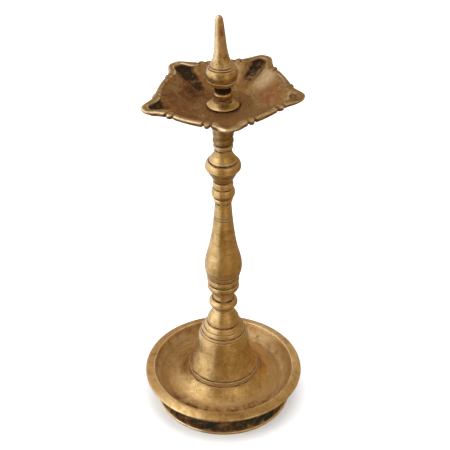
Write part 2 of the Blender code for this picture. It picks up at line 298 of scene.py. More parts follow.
def turned(name, profile, segments, seed, uneven=0.06, closed=False, shape=None, marks=None):
    """Turns an outline about Z. shape(angle, radius, height) adds to the radius, and marks(angle,
    radius, height) gives more values for the material, added to the grime and painted shade and to
    the wear and painted highlight."""
    angle = np.linspace(0, 2 * math.pi, segments, endpoint=False)[None, :] - math.pi / 2
    radius = profile[:, 0][:, None] + 0 * angle
    height = profile[:, 1][:, None] + 0 * angle
    tangent = np.gradient(profile[:, :2], axis=0)
    tangent /= np.maximum(np.linalg.norm(tangent, axis=1, keepdims=True), 1e-9)
    along = arc_length(profile)[:, None]
    settle = np.clip(profile[:, 0] / 4.0, 0, 1)[:, None]
    lift = waviness(seed, uneven)(angle, along) * settle
    wide = radius + lift * -tangent[:, 1][:, None]
    tall = height + lift * tangent[:, 0][:, None]
    if shape:
        wide = wide + shape(angle, radius, height)
    wide, tall = np.minimum(wide, DISH_RADIUS), np.clip(tall, 0.0, TIP)
    values = {"grime_and_shade": profile[:, 2][:, None] + 0 * angle,
              "wear_and_highlight": profile[:, 3][:, None] + 0 * angle,
              "soot_and_shade": 0 * radius, "stain_and_shade": 0 * radius}
    if marks:
        for mark, more in marks(angle + math.pi / 2, radius, height).items():
            values[mark] = values[mark] + more
    points = np.stack([wide * np.cos(angle), wide * np.sin(angle), tall], axis=-1)
    return grid_piece(name, points, closed, values)


def spot(angle, height, azimuth, level, width, tall):
    """1 at a place on a turned piece, given as azimuth in degrees and height, fading round it."""
    turn = (angle - math.radians(azimuth) + math.pi) % (2 * math.pi) - math.pi
    return np.exp(-(turn / math.radians(width)) ** 2 - ((height - level) / tall) ** 2)


# ---------------- studs and sockets

def stud(minor, seat, start):
    """Stretches of a stud from the axis down to its seat."""
    tip = start + THREAD_LENGTH + 1.0
    shank = minor + THREAD_DEPTH
    return [[(0, tip), (minor - 0.7, tip)], [(minor - 0.7, tip), (minor, tip - 0.7)],
            [(minor, tip - 0.7), (minor, start)], [(minor, start), (shank, start - 0.9)],
            [(shank, start - 0.9), (shank, seat)]]


def socket(minor, mouth, start):
    """Stretches of a blind socket from its mouth up to the axis."""
    end = start + THREAD_LENGTH + 2.5
    core = minor + THREAD_GAP
    wide = minor + THREAD_DEPTH + THREAD_GAP + SHANK_PLAY
    return [[(wide, mouth), (wide, start - 0.3)], [(wide, start - 0.3), (core, start + 0.6)],
            [(core, start + 0.6), (core, end)], [(core, end), (0, end)]]


def male(minor, start):
    """Adds a stud's thread to the radius."""
    def shape(angle, radius, height):
        core = np.abs(radius - minor) < 0.45
        return core * THREAD_DEPTH * thread_height(angle, height, start, ROOT_HALF, CREST_HALF)
    return shape


def female(minor, start):
    """Cuts a socket's thread, with the play that the CAD thread has."""
    def shape(angle, radius, height):
        core = np.abs(radius - minor - THREAD_GAP) < 0.3
        inner = ROOT_HALF + FLANK_GAP - THREAD_GAP * (ROOT_HALF - CREST_HALF) / THREAD_DEPTH
        outer = CREST_HALF + FLANK_GAP - THREAD_GAP * (ROOT_HALF - CREST_HALF) / THREAD_DEPTH
        rise = thread_height(angle, height, start, inner, outer)
        return core * THREAD_DEPTH * rise
    return shape


# ---------------- the lamp's sections

def make_base():
    """Drip dish, bell and dome in one casting, with the undercut waist and the hollow below."""
    stretches = stud(BASE_MINOR, KNOP_SEAT, BASE_THREAD) + [
        [(BASE_MINOR + THREAD_DEPTH, KNOP_SEAT), (8.8, KNOP_SEAT)],
        [(8.8, KNOP_SEAT), (9.4, 93.4), (10.7, 91.1), (12.1, 88.6), (13.4, 86.2), (13.95, 83.8),
         (13.95, 82.5)],
        [(13.95, 82.5), (13.1, 81.8)],
        [(13.1, 81.8), (14.4, 80.6), (15.9, 78.9), (17.1, 77.4)],
        [(17.1, 77.4), (17.8, 76.5), (18.4, 75.4), (18.75, 74.4)],
        [(18.75, 74.4), (19.1, 73.2), (20.4, 70.4), (21.7, 66.0), (22.6, 60.0), (23.5, 54.0),
         (25.1, 47.7), (28.0, 39.8), (30.3, 34.2), (31.9, 30.2), (35.4, 25.2), (40.5, 20.8),
         (46.0, 18.4), (51.5, 17.8), (56.0, 19.9), (59.2, 24.2), (60.9, 27.6), (61.6, 29.2)],
        [(61.6, 29.2), (62.1, 29.6), (62.9, 29.6)],
        [(62.9, 29.6), (66.4, 28.7), (69.2, 27.6)],
        [(69.2, 27.6), (69.8, 27.2), (DISH_RADIUS, 26.6), (69.8, 25.6), (69.2, 24.9)],
        [(69.2, 24.9), (66.6, 23.3), (61.6, 20.4), (58.1, 15.8), (56.6, 11.0), (56.8, 7.2),
         (58.2, 4.3), (59.4, 3.2)],
        [(59.4, 3.2), (60.1, 2.7), (60.2, 1.2), (59.5, 0.0)],
        [(59.5, 0.0), (54.4, 0.0)],
        [(54.4, 0.0), (53.4, 5.0), (52.4, 11.4)],
        [(52.4, 11.4), (50.9, 13.8), (48.0, 15.2), (44.5, 15.7), (39.0, 18.2), (33.2, 23.2),
         (28.4, 31.0), (24.6, 39.8), (21.6, 48.6), (19.4, 60.0), (17.4, 69.0), (12.0, 76.4),
         (0, 79.0)]]
    lines = [(13.9, 84.6, 0.4, 0.12), (13.1, 81.8, 0.4, 0.2), (17.2, 77.3, 0.45, 0.25),
             (19.1, 73.2, 0.5, 0.45), (20.4, 70.5, 0.42, 0.34), (30.3, 34.2, 0.55, 0.7),
             (31.9, 30.2, 0.42, 0.4), (61.6, 29.1, 0.4, 0.14), (59.6, 3.5, 0.4, 0.25)]
    profile = outline(stretches, lines, wear=0.2, coarse=1.25, threads=[(BASE_MINOR, BASE_THREAD)])

    def shape(angle, radius, height):
        turn = angle + math.pi / 2
        dent = spot(turn, radius, -103.0, 66.0, 2.6, 2.4) * (height > 26) * (radius > 60)
        return male(BASE_MINOR, BASE_THREAD)(angle, radius, height) - dent

    def marks(turn, radius, height):
        dish_side = np.interp(radius, (50, 56, 62, 70), (17.0, 18.6, 25.4, 25.8))
        # Painted shade: the dish's underside and the hollow inside the base are darkened; the
        # waist's green-black tarnish is the casting's own.
        below = (radius > 54.6) & (height < dish_side)
        inside = (height < 79.5) & (radius < 54.6) & (hollow_depth(radius) > height)
        waist = below * smoothstep(22.4, 18.2, height)
        patchy = (0.58 + 0.16 * np.cos(turn - math.radians(38))
                  + 0.1 * np.sin(7 * turn + 0.5 * height) + 0.12 * np.sin(23 * turn - 0.9 * height))
        lower = smoothstep(3.0, 4.4, height)
        film = smoothstep(34, 42, radius) * smoothstep(62, 58, radius) * (1 - below) * (height < 30)
        film = film * (height > 16.5) * (1 - inside)
        # Painted shade: the front of the dish's floor is darker.
        front = film * smoothstep(41, 47, radius) * smoothstep(0.3, 0.95, np.cos(turn))
        dent = spot(turn, radius, -103.0, 64.5, 2.2, 2.6) * (height > 26) * (radius > 60)
        pit = spot(turn, radius, 146.0, 57.3, 0.85, 0.8) * (height > 17) * (height < 27)
        lip = (radius > 61.5) * (height > 25.5)
        # Painted shade on the lip's left side and painted highlight on its right.
        left_lip = lip * smoothstep(0.35, 0.95, -np.sin(turn + math.radians(10)))
        right_lip = lip * smoothstep(0.2, 0.9, np.sin(turn))
        # Painted highlights on the dish's wall, at the back right and on the left.
        right_wall = np.exp(-((turn - math.radians(152)) / 0.35) ** 2)
        right_wall = right_wall * (radius > 56) * (height > 19)
        wall = smoothstep(55, 58, radius) * (radius < 62) * (height > 18)
        left_wall = wall * smoothstep(0.0, 0.8, -np.sin(turn))
        # Painted highlight along the foot's lower edge, with some real wear.
        foot = (height < 3.1) * (radius > 57.5)
        return {"soot_and_shade": waist * lower * patchy + 1.4 * pit + 0.6 * dent,
                "wear_and_highlight": (1.3 * foot + (0.7 * right_wall + 0.45 * left_wall + 0.35 * right_lip)
                         * (1 - below)),
                "grime_and_shade": (0.85 * waist * lower + 0.4 * below) * (1 - foot) + 0.75 * inside
                + 0.34 * film * smoothstep(38, 46, radius) + 0.4 * front + 0.4 * left_lip,
                "stain_and_shade": 0.4 * below * (1 - foot) + 0.3 * film + 0.65 * left_lip}
    return turned("base_casting", profile, BASE_SEGMENTS, 11, 0.1, shape=shape, marks=marks)


def hollow_depth(radius):
    """Height of the brass's middle at a radius, which parts the hollow's side from the dish's."""
    return np.interp(radius, (0, 12, 17, 21, 25, 31, 36, 42, 50, 54.6),
                     (81, 80, 73, 60, 46, 30, 23, 18.5, 16.7, 15))


def make_lower_knop():
    """Ring over a bead, bored to slip over the base's stud."""
    bore = BASE_MINOR + THREAD_DEPTH + GAP
    high = BALUSTER_SEAT
    low = bottom("lower_knop")
    stretches = [
        [(bore, high), (12.3, high)],
        [(12.3, high), (12.3, 124.1), *bead(123.8, 118.6, 12.7, 13.65)[1:-1], (12.6, 118.3)],
        [(12.6, 118.3), (12.2, 117.4), (10.5, 115.9), (9.1, 114.0), (8.6, 111.8), (8.6, 109.4),
         (8.9, 107.3)],
        [(8.9, 107.3), *bead(106.7, 99.6, 9.4, 12.4)[1:-1], (9.2, 98.9)],
        [(9.2, 98.9), (8.7, 97.4), (8.8, low)],
        [(8.8, low), (bore, low)], [(bore, low), (bore, high)]]
    lines = [(12.5, 118.2, 0.4, 0.25), (8.9, 107.3, 0.4, 0.3), (12.3, 103.4, 0.3, 0.14),
             (9.1, 98.8, 0.35, 0.2), (12.4, 124.0, 0.4, 0.3)]
    profile = outline(stretches, lines)[:-1]
    return turned("lower_knop_turned", profile, STEM_SEGMENTS, 23, closed=True)


def make_baluster():
    """Pear-shaped stem, with the head's plain socket on top and the base's threaded one below."""
    bore = TENON_RADIUS + GAP
    end = HEAD_SEAT - TENON_LENGTH - GAP
    low = bottom("baluster")
    stretches = [
        [(0, end), (bore, end)], [(bore, end), (bore, HEAD_SEAT)],
        [(bore, HEAD_SEAT), (7.2, HEAD_SEAT)],
        [(7.2, HEAD_SEAT), *bead(HEAD_SEAT - 0.05, 207.7, 7.3, 7.85)[1:-1], (7.25, 207.5)],
        [(7.25, 207.5), (6.98, 206.6), (6.95, 204.6), (7.3, 200.0), (7.75, 194.4), (8.6, 184.6),
         (9.3, 178.5), (10.2, 172.4), (11.3, 166.2), (12.65, 160.0), (14.3, 153.6),
         (15.55, 147.6), (15.95, 143.2), (15.65, 139.2), (15.1, 136.6), (14.5, 134.4),
         (14.1, 132.9)],
        [(14.1, 132.9), (13.8, 132.0), (13.1, 131.5)],
        [(13.1, 131.5), *bead(130.9, 125.6, 13.2, 13.8)[1:-1], (12.7, 125.3)],
        [(12.7, 125.3), (12.3, low)],
        [(12.3, low), (BASE_MINOR + THREAD_DEPTH + THREAD_GAP + SHANK_PLAY, low)]]
    stretches += socket(BASE_MINOR, low, BASE_THREAD)
    lines = [(7.25, 207.3, 0.45, 0.35), (7.85, 193.2, 0.4, 0.22), (8.05, 191.0, 0.4, 0.22),
             (15.6, 139.0, 0.4, 0.2), (15.0, 136.3, 0.45, 0.36), (14.4, 133.9, 0.35, 0.12),
             (13.1, 131.4, 0.5, 0.3), (12.6, 125.2, 0.4, 0.25)]
    profile = outline(stretches, lines, threads=[(BASE_MINOR + THREAD_GAP, BASE_THREAD)])
    return turned("baluster_turned", profile, STEM_SEGMENTS, 37, 0.08,
                  shape=female(BASE_MINOR, BASE_THREAD))


def make_head():
    """Head of the stem: bulb, collar, double-cone knop and neck, with its tenon and long stud."""
    low = HEAD_SEAT + GAP
    stretches = stud(HEAD_MINOR, PAN_SEAT, HEAD_THREAD) + [
        [(HEAD_MINOR + THREAD_DEPTH, PAN_SEAT), (7.4, PAN_SEAT)],
        [(7.4, PAN_SEAT), (7.95, 260.9), (7.9, 259.3), (7.35, 257.6)],
        [(7.35, 257.6), (7.2, 256.2), (7.45, 254.4), (9.3, 250.8), (11.6, 247.6)],
        [(11.6, 247.6), (11.3, 246.9), (11.8, 246.5)],
        [(11.8, 246.5), (13.0, 245.9), (14.0, 244.3), (14.55, 241.8), (14.45, 240.0), (13.8, 239.2)],
        [(13.8, 239.2), (13.1, 238.4), (11.75, 235.8), (9.5, 231.5), (8.4, 229.2)],
        [(8.4, 229.2), (7.85, 228.0), (8.1, 226.6), (8.4, 223.4), (8.25, 221.9)],
        [(8.25, 221.9), (7.7, 221.3), (8.3, 220.7)],
        [(8.3, 220.7), (9.2, 219.2), (9.7, 217.0), (9.65, 214.9), (8.9, 212.9), (8.1, low + 0.2)],
        [(8.1, low + 0.2), (7.8, low)], [(7.8, low), (TENON_RADIUS, low)],
        [(TENON_RADIUS, low), (TENON_RADIUS, low - TENON_LENGTH)],
        [(TENON_RADIUS, low - TENON_LENGTH), (0, low - TENON_LENGTH)]]
    lines = [(7.3, 257.5, 0.45, 0.3), (11.4, 246.9, 0.5, 0.4), (13.5, 238.8, 0.5, 0.45),
             (10.7, 233.7, 0.4, 0.2), (7.9, 228.0, 0.5, 0.35), (7.8, 221.3, 0.5, 0.35)]
    profile = outline(stretches, lines, threads=[(HEAD_MINOR, HEAD_THREAD)])

    def marks(turn, radius, height):
        stud_oil = (radius < 4.6) & (height > PAN_SEAT)
        return {"grime_and_shade": 0.5 * stud_oil + 0.5 * np.exp(-((height - PAN_SEAT) / 1.6) ** 2)}
    return turned("head_turned", profile, STEM_SEGMENTS, 41, 0.07,
                  shape=male(HEAD_MINOR, HEAD_THREAD), marks=marks)


def make_washer():
    """Leather washer, pressed a little out of round by the pan's boss."""
    bore = HEAD_MINOR + THREAD_DEPTH + GAP
    low, high = bottom("pan_washer"), top("pan_washer")
    stretches = [[(bore, high), (7.1, high)], [(7.1, high), (7.4, (low + high) / 2), (7.1, low)],
                 [(7.1, low), (bore, low)], [(bore, low), (bore, high)]]
    profile = outline(stretches, wear=0.1, coarse=0.4)[:-1]
    return turned("washer_leather", profile, STEM_SEGMENTS, 53, 0.05, closed=True)


def make_collar():
    """Flared cup washer under the finial."""
    bore = HEAD_MINOR + THREAD_DEPTH + GAP
    low = bottom("pan_collar")
    stretches = [
        [(bore, FINIAL_SEAT), (6.3, FINIAL_SEAT)],
        [(6.3, FINIAL_SEAT), (6.6, 301.0), (7.6, 300.7), (9.6, 299.8), (11.9, 298.6)],
        [(11.9, 298.6), (12.6, 298.1), (12.8, 297.5), (12.7, 296.9), (12.2, low)],
        [(12.2, low), (bore, low)], [(bore, low), (bore, FINIAL_SEAT)]]
    profile = outline(stretches, [(7.5, 300.75, 0.4, 0.15)])[:-1]

    def marks(turn, radius, height):
        # Painted shadow where the collar stands on the pan, with real smoke black.
        foot = smoothstep(298.4, 297.2, height) * (radius > 9)
        return {"grime_and_shade": 0.95 * foot + 0.9 * np.exp(-((radius - 6.6) / 0.9) ** 2),
                "soot_and_shade": 0.5 * foot}
    return turned("collar_turned", profile, STEM_SEGMENTS, 61, 0.06, closed=True, marks=marks)


def lean(obj):
    """Tips the finial a little to the left above its bead, as the casting is."""
    count = len(obj.data.vertices)
    co = np.empty(count * 3, np.float32)
    obj.data.vertices.foreach_get("co", co)
    co = co.reshape(-1, 3)
    outer = np.hypot(co[:, 0], co[:, 1]) > 4.75 * MM
    solid = outer | (co[:, 2] > (HEAD_THREAD + THREAD_LENGTH + 2.6) * MM)
    co[:, 0] -= solid * np.maximum(0, co[:, 2] - LEAN_START * MM) * math.tan(FINIAL_LEAN)
    obj.data.vertices.foreach_set("co", co.ravel())


def make_finial():
    """Spire, bulb and bead in one, with the threaded socket that holds the pan down."""
    low = bottom("finial")
    stretches = [
        [(0, TIP), (1.3, TIP - 0.25), (2.3, 370.3), (2.85, 368.8), (3.2, 366.4), (4.0, 357.5),
         (4.8, 347.0), (5.7, 340.2), (7.1, 334.8), (9.3, 331.3)],
        [(9.3, 331.3), (10.1, 330.2), (10.9, 328.9), (11.7, 327.0), (12.2, 325.0), (12.3, 323.0),
         (12.1, 321.4), (11.8, 320.7)],
        [(11.8, 320.7), (11.3, 320.3), (11.5, 319.8)],
        [(11.5, 319.8), (11.6, 318.8), (11.1, 317.3), (10.3, 316.0), (9.5, 315.2)],
        [(9.5, 315.2), (8.2, 314.8), (7.0, 314.0), (6.5, 312.6), (6.4, 309.2)],
        [(6.4, 309.2), *bead(308.5, 303.5, 6.4, 7.65)[1:-1], (6.4, 303.2)],
        [(6.4, 303.2), (6.2, 302.6), (6.3, low)],
        [(6.3, low), (HEAD_MINOR + THREAD_DEPTH + THREAD_GAP + SHANK_PLAY, low)]]
    stretches += socket(HEAD_MINOR, low, HEAD_THREAD)
    lines = [(9.5, 331.1, 0.5, 0.36), (10.5, 329.4, 0.5, 0.36), (8.1, 333.1, 0.35, 0.12),
             (11.4, 320.3, 0.5, 0.5), (7.4, 334.2, 0.3, 0.08), (6.3, 303.0, 0.5, 0.3)]
    profile = outline(stretches, lines, threads=[(HEAD_MINOR + THREAD_GAP, HEAD_THREAD)])

    def marks(turn, radius, height):
        # Painted shade in the neck under the bulb, with real smoke black.
        neck = np.exp(-((height - 311.6) / 3.0) ** 4) * (radius > 5.4)
        soot_and_shade_cover = 0.72 + 0.28 * np.cos(turn - math.radians(25))
        spire = smoothstep(336.0, 352.0, height)
        speck = np.exp(-((height - 361.0) / 7.0) ** 2)
        speck = speck * (0.5 + 0.5 * np.cos(turn - math.radians(25)))
        band = np.exp(-((height - 317.6) / 2.6) ** 2) * (radius > 8)
        # Painted shade on the spire's right side and painted highlight on its left.
        shaded = smoothstep(-0.2, 0.9, np.cos(turn - math.radians(60)))
        return {"soot_and_shade": neck * soot_and_shade_cover, "grime_and_shade": 0.8 * neck + 0.5 * spire * shaded + 0.2 * speck
                + 0.6 * np.exp(-((height - 302.6) / 0.8) ** 2),
                "stain_and_shade": 0.8 * band + 0.8 * spire * shaded + 0.4 * speck,
                "wear_and_highlight": 0.5 * smoothstep(330, 340, height) * (1 - shaded) ** 2}
    obj = turned("finial_turned", profile, STEM_SEGMENTS, 71, 0.07,
                 shape=female(HEAD_MINOR, HEAD_THREAD), marks=marks)
    lean(obj)
    return obj


# ---------------- the pan

def bell_step(angle, width, power):
    """1 on a beak's middle line, falling smoothly to 0 between the beaks."""
    return 1.0 / (1.0 + (np.abs(angle) / width) ** power)


def around(azimuth, centre):
    """Signed degrees from centre to azimuth."""
    return (azimuth - centre + 180.0) % 360.0 - 180.0


def pan_beaks(azimuth):
    """For each azimuth, its distance in degrees from the nearest beak and that beak's tip."""
    offsets = np.stack([around(azimuth, centre) for centre, _ in BEAKS])
    nearest = np.argmin(np.abs(offsets), axis=0)
    tips = np.array([tip for _, tip in BEAKS])
    weights = 1.0 / (np.abs(offsets) + 2.0) ** 4
    tip = (weights * tips[:, None]).sum(0) / weights.sum(0)
    return np.take_along_axis(offsets, nearest[None], 0)[0], tip


def pan_points(azimuth):
    """The pan's radial sections, as control points (point, azimuth, 2) in smooth stretches."""
    offset, tip = pan_beaks(azimuth)
    rim = PAN_SIDE_RADIUS + (tip - PAN_SIDE_RADIUS) * bell_step(offset, 9.8, 3)
    away = np.abs(np.abs(offset) - NUB_OFFSET)
    nub = np.exp(-(away / 1.8) ** 4)
    notch = np.exp(-((away - 3.2) / 0.9) ** 2)
    channel = bell_step(offset, 6.6, 4)
    mouth = CHANNEL_MOUTH - (BEAKS[0][1] - tip)
    inner = PAN_INNER_RADIUS + (mouth - PAN_INNER_RADIUS) * channel
    edge = RIM_HEIGHT - 0.7 - 2.2 * channel
    bore = HEAD_MINOR + THREAD_DEPTH + GAP
    low = bottom("oil_pan")
    flat = np.zeros_like(azimuth)

    def at(radius, height):
        return np.stack([radius + flat, height + flat], axis=-1)

    def inside(t):
        radius = PAN_FLOOR + (inner - PAN_FLOOR) * t
        return radius, COLLAR_SEAT + (edge - COLLAR_SEAT) * t ** 1.25

    def under(t):
        radius, height = inside(t)
        return at(radius, height - WALL_THICKNESS)

    bulge = rim + 1.2 * nub - 1.3 * notch
    edge_low = RIM_HEIGHT - LIP_THICKNESS - (TIP_THICKNESS - LIP_THICKNESS) * channel + 0.9 * notch
    return [
        ([at(bore, COLLAR_SEAT), at(bore, low)], (8,)),
        ([at(bore, low), at(8.0, low)], (3,)),
        ([at(8.0, low), at(8.25, low + 0.5), at(8.25, 266.6), at(7.7, 268.0)], (2, 3, 3)),
        ([at(7.7, 268.0), at(8.15, 269.2), at(8.15, 280.0), at(9.2, 285.4), at(12.6, 289.6),
          at(18.0, 291.8), at(PAN_FLOOR, 293.2), under(0.35), under(0.7), under(1.0)],
         (3, 5, 4, 4, 3, 3, 5, 5, 5)),
        ([under(1.0), at(bulge - 1.5, edge_low - 0.3), at(bulge - 0.45, edge_low + 0.2),
          at(bulge, edge_low + 1.0), at(bulge - 0.05, RIM_HEIGHT - 0.9),
          at(bulge - 0.7, RIM_HEIGHT - 0.25), at(bulge - 1.6, RIM_HEIGHT),
          at(inner + 1.3, RIM_HEIGHT), at(inner + 0.4, RIM_HEIGHT - 0.25), at(*inside(1.0))],
         (3, 2, 3, 3, 3, 3, 4, 3, 2)),
        ([at(*inside(t)) for t in (1.0, 0.93, 0.8, 0.62, 0.45, 0.3, 0.18, 0.08, 0.0)],
         (2, 4, 5, 6, 6, 6, 6, 6)),
        ([at(PAN_FLOOR, COLLAR_SEAT), at(15.0, COLLAR_SEAT), at(bore, COLLAR_SEAT)], (34, 8))]


def make_pan():
    """Oil pan with five pinched beaks, nubs beside each beak, and a ringed boss below."""
    azimuth = np.arange(PAN_STEPS) * 360.0 / PAN_STEPS
    offset = pan_beaks(azimuth)[0]
    runs = [smoothed(np.stack(points), counts) for points, counts in pan_points(azimuth)]
    section = np.concatenate([runs[0]] + [run[1:] for run in runs[1:-1]] + [runs[-1][1:-1]])
    radius, height = section[..., 0], section[..., 1]
    turn = np.radians(azimuth)[None, :] + 0 * radius
    bowl = smoothstep(0, 1, inner_side(section, runs))
    rings = ring_marks(radius)
    height = height - bowl * rings * 0.16
    uneven = waviness(83, 0.22)(turn, height * 0.9 + radius * 0.5)
    height = height + uneven * smoothstep(16, 30, radius)
    radius = radius + 0.6 * uneven * smoothstep(30, 45, radius)
    x, y = radius * np.sin(turn), -radius * np.cos(turn)
    lifted = height + x * math.tan(PAN_TILT) * smoothstep(15.0, 26.0, radius)
    points = np.stack([x, y, lifted], axis=-1)
    marks = pan_marks(azimuth, offset, radius, height, bowl, rings)
    # The section runs upwards on its outer side, so it is turned round to make the faces look out.
    marks = {mark: values[::-1] for mark, values in marks.items()}
    return grid_piece("pan_cast", points[::-1], True, marks)


def inner_side(section, runs):
    """1 on the rows of the section that face up into the bowl, 0 on the others."""
    first = sum(len(run) for run in runs[:5]) - 5
    rows = np.arange(len(section))
    return (rows >= first).astype(float)[:, None] + 0 * section[..., 0]


def ring_marks(radius):
    """The turned grooves on the pan's floor, round the collar."""
    lines = (15.9, 17.7, 19.6, 21.5, 23.3)
    return sum(np.exp(-((radius - line) / 0.42) ** 2) for line in lines)


def bank(away, left, right):
    """1 between two (azimuth, softness) banks, given in degrees from a beak's middle line."""
    return smoothstep(right[0] - right[1], right[0] + right[1], away) * (
        1 - smoothstep(left[0] - left[1], left[0] + left[1], away))


def pan_marks(azimuth, offset, radius, height, bowl, rings):
    """Soot in the wick channels, oil stains, wear on the lip and dirt in the notches, with painted
    shade and painted highlights round the bowl and the lip, for the material.
    """
    def drift(centre, width, low, high):
        away = around(azimuth, centre)[None, :]
        return np.exp(-(away / width) ** 2) * smoothstep(low, low + 8, radius) * (
            1 - smoothstep(high - 6, high, radius))

    def channel(k, left, right, start, full, end):
        away = around(azimuth, BEAKS[k][0])[None, :] + 0 * radius
        return bank(away, left, right) * smoothstep(start, full, radius) * (
            1 - smoothstep(end - 2.5, end, radius))

    hollow = height < RIM_HEIGHT - 0.5
    # Real smoke black in the wick channels, with painted shade along their banks and in the beaks'
    # hollows.
    back_left = channel(4, (4.0, 2.2), (-9.0, 2.4), 14, 50, 63.0)
    back_right = channel(3, (7.0, 2.0), (-3.0, 4.0), 22, 52, 62.0)
    soot_and_shade = bowl * hollow * (0.95 * back_left + 0.95 * back_right
                            + 0.95 * channel(0, (8.0, 2.5), (-13.0, 3.0), 43, 51, 63.5)
                            + 0.6 * channel(1, (6.0, 3.0), (-6.0, 3.0), 44, 52, 57.5)
                            + 0.4 * channel(2, (4.0, 2.0), (-4.0, 2.0), 49, 54, 60.0))
    # Painted shadow round the collar's foot, heavier on the right, over real dirt.
    foot = np.exp(-((radius - 13.7) / 0.9) ** 2)
    right_side = 0.75 + 0.25 * np.sin(np.radians(azimuth))[None, :]
    soot_and_shade = soot_and_shade + bowl * (0.55 * drift(-128, 17, 13, 41) + 0.8 * foot * right_side)
    # Painted shade in the right beak's recess and a painted highlight round its edge.
    pocket = bowl * hollow * channel(2, (6.5, 1.2), (-6.0, 1.6), 50, 52.5, 60.5)
    pocket_edge = bowl * channel(2, (9.0, 1.2), (-1.0, 2.0), 48.5, 51, 62.0) * (1 - pocket)
    away = np.abs(np.abs(offset) - NUB_OFFSET)
    # Dirt and painted shade in the notches beside the nubs.
    notch = np.exp(-((away - 3.3) / 1.3) ** 2)[None, :]
    lip = smoothstep(47, 49, radius) * (height > 304.5)
    outer = lip * (1 - bowl)
    soot_and_shade = soot_and_shade + 0.75 * outer * notch * smoothstep(RIM_HEIGHT - 0.7, RIM_HEIGHT - 1.8, height)
    # Painted shade on the pan's underside and on the outer face of its lip.
    below = (1 - bowl) * (height < 305.4) * (radius > 9)
    # Painted highlight on the front beak's lip and along the lip's top edge, brightest on the left;
    # painted shade on the lip's right side.
    side = np.exp(-((height - 307.6) / 1.5) ** 2)
    crescent = np.exp(-((around(azimuth, BEAKS[1][0] - 5.0)) / 5.0) ** 4)[None, :]
    left_rim = smoothstep(0.2, 0.8, -np.sin(np.radians(azimuth)))[None, :]
    # Painted shade on the bowl's wall under the rim.
    under_rim = smoothstep(42, 47.5, radius) * smoothstep(12, 20, np.abs(offset))[None, :]
    # Oil dirt in the bowl, with painted shade darkening its left wall and its front.
    grime_and_shade = (bowl * (0.27 + 0.9 * rings + 0.28 * drift(-100, 60, 16, 47) + 0.6 * foot
                      + 0.45 * drift(222, 18, 14, 44) + 0.35 * drift(150, 9, 24, 46)
                      + 0.35 * drift(-20, 70, 20, 50) + 0.55 * drift(-80, 40, 24, 50)
                      + 0.3 * drift(94, 22, 24, 49)
                      + 0.25 * under_rim * hollow + 0.75 * pocket)
              + outer * notch * 0.95 + 0.4 * below
              + (outer * 0.95 * smoothstep(RIM_HEIGHT - 0.8, RIM_HEIGHT - 1.4, height)
                 * (1 - 0.7 * crescent))
              + lip * 0.34 * (1 - crescent) * (1 - 0.6 * left_rim)
              + 0.8 * np.exp(-((height - 268.0) / 0.6) ** 2) * (radius < 10))
    stain_and_shade = bowl * (1.9 * drift(97, 15, 26, 48) + 0.4 * drift(20, 40, 16, 40)
                    + 0.35 * drift(-60, 50, 22, 46) + 0.4 * drift(147, 14, 22, 40)) + 0.25 * below
    stain_and_shade = stain_and_shade + outer * side * 0.4 * (1 - left_rim) * (1 - crescent)
    edge = np.exp(-((height - RIM_HEIGHT + 0.5) / 0.45) ** 2)
    wear_and_highlight = outer * (1 - notch) * (0.95 * crescent * side + edge * (0.65 + 1.3 * left_rim))
    # Painted highlights on the bowl's right, back and left walls.
    wear_and_highlight = wear_and_highlight + 0.9 * pocket_edge + bowl * (
        0.6 * drift(126, 10, 30, 51) + 0.4 * drift(176, 15, 28, 51) + 0.3 * drift(-112, 9, 30, 48))
    return {"grime_and_shade": grime_and_shade, "wear_and_highlight": wear_and_highlight, "soot_and_shade": soot_and_shade, "stain_and_shade": stain_and_shade}


# ---------------- materials

